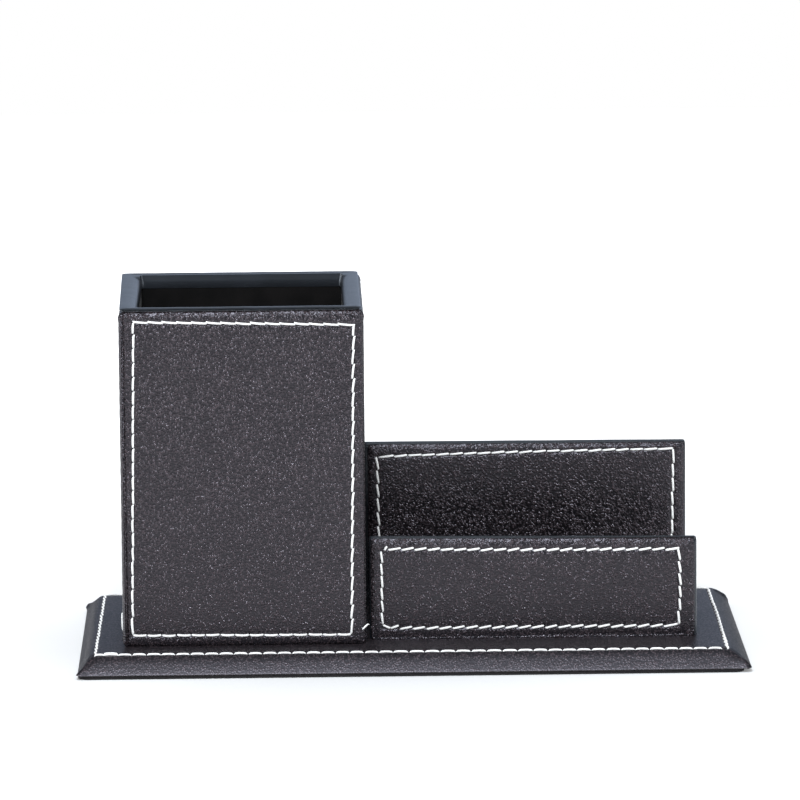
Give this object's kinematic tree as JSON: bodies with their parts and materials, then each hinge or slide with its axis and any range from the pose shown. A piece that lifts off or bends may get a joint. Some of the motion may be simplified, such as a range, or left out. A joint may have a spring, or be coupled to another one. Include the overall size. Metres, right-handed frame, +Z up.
{
  "type": "desk organiser with pen cup",
  "caption": "Desk organiser in black stitched leather: a square pen cup and an open card holder with a low front board and a taller back board on a bevelled base.",
  "frame": {"origin": "centre of the underside of the base's felt", "axes": "+X along the base to the right, from the cup to the card holder; +Y to the back; +Z up"},
  "size_m": [0.2, 0.1, 0.1085],
  "materials": {
    "panel_leather": "fine pebble grain",
    "smooth_leather": "smooth satin",
    "thread": "twisted",
    "flannel": "napped",
    "felt": "matte",
    "fibreboard": "sawn",
    "greyboard": "matte",
    "zinc_steel": "zinc plated"
  },
  "bodies": {
    "root": {"back_board_card": "greyboard", "back_board_core": "fibreboard", "back_board_leather": "panel_leather", "back_board_pins": "zinc_steel", "back_board_thread": "thread", "back_board_wrap": "smooth_leather", "base_board": "fibreboard", "base_felt": "felt", "base_leather": "panel_leather", "base_thread": "thread", "cup_back_card": "greyboard", "cup_back_leather": "panel_leather", "cup_back_lining": "flannel", "cup_back_thread": "thread", "cup_back_wall": "fibreboard", "cup_floor": "fibreboard", "cup_floor_lining": "flannel", "cup_front_card": "greyboard", "cup_front_leather": "panel_leather", "cup_front_lining": "flannel", "cup_front_thread": "thread", "cup_front_wall": "fibreboard", "cup_left_card": "greyboard", "cup_left_leather": "panel_leather", "cup_left_lining": "flannel", "cup_left_thread": "thread", "cup_left_wall": "fibreboard", "cup_right_card": "greyboard", "cup_right_leather": "panel_leather", "cup_right_lining": "flannel", "cup_right_thread": "thread", "cup_right_wall": "fibreboard", "cup_screws": "zinc_steel", "cup_sleeve": "smooth_leather", "front_board_card": "greyboard", "front_board_core": "fibreboard", "front_board_leather": "panel_leather", "front_board_pins": "zinc_steel", "front_board_thread": "thread", "front_board_wrap": "smooth_leather"}
  },
  "joints": []
}
